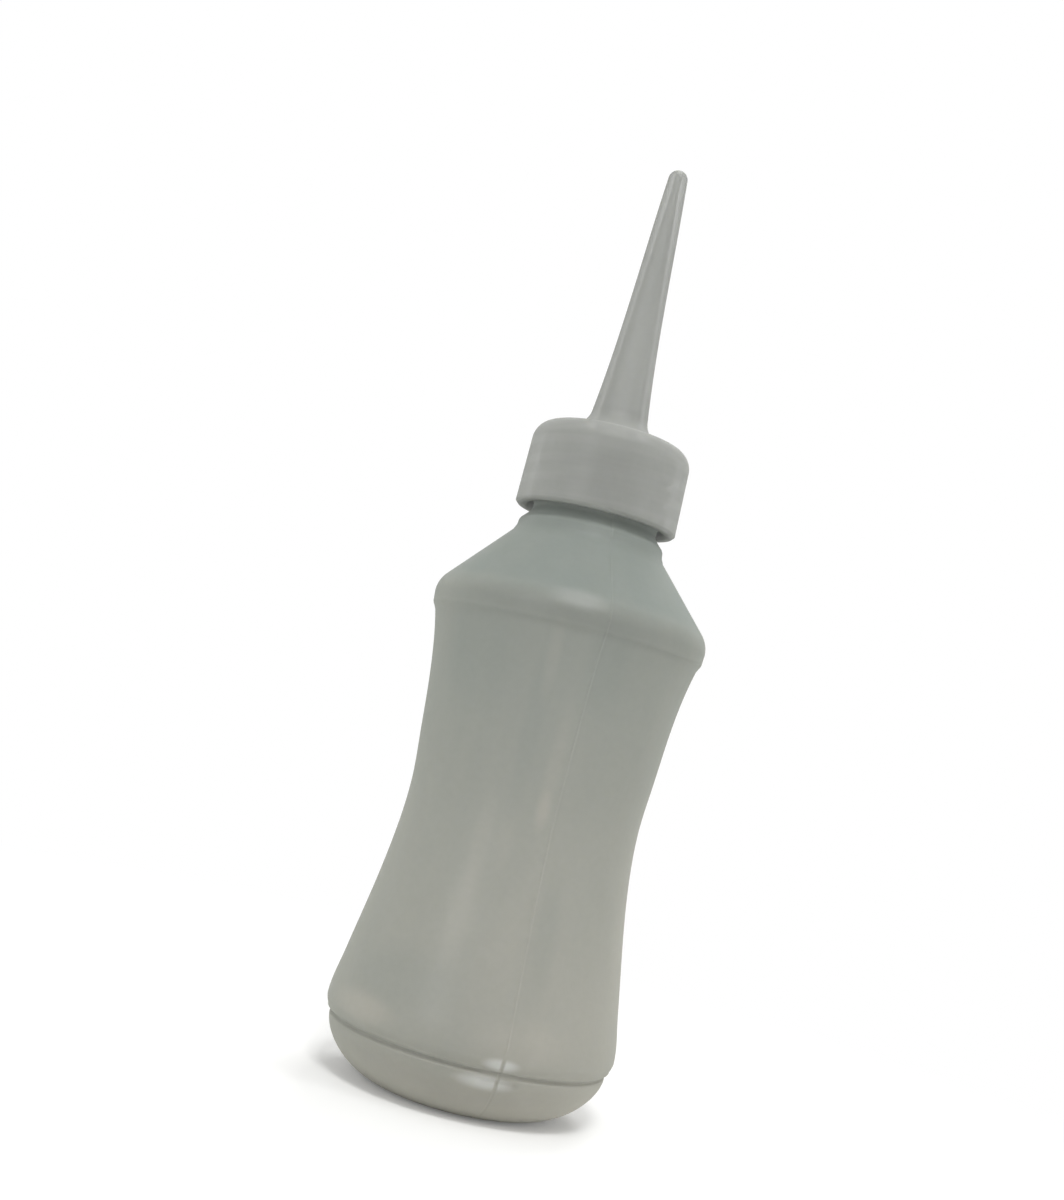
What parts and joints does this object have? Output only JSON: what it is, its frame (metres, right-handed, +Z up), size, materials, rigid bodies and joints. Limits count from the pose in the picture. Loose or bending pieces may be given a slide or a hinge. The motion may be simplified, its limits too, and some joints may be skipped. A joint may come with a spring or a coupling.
{
  "type": "squeeze bottle",
  "caption": "Waisted translucent squeeze bottle with a raised shoulder ring and a screw-on cap drawn out into a long tapered nozzle.",
  "frame": {"origin": "centre of the ring on which the bottle stands", "axes": "+Z up along the bottle's axis, through the neck and the nozzle; +Y away from the picture's side of the bottle, +X to its right"},
  "size_m": [0.0616, 0.0616, 0.2039],
  "materials": {
    "bottle_milky": "milky translucent low-density polyethylene, semi-matte as blown",
    "cap_milky": "milky translucent low-density polyethylene, semi-matte as moulded"
  },
  "bodies": {
    "bottle": {"bottle": "bottle_milky"},
    "cap": {"nozzle_cap": "cap_milky"}
  },
  "joints": [
    {"name": "cap_lift", "type": "slide", "parent": "bottle", "child": "cap", "axis": [0, 0, 1], "range_m": [0, 0.03]}
  ]
}
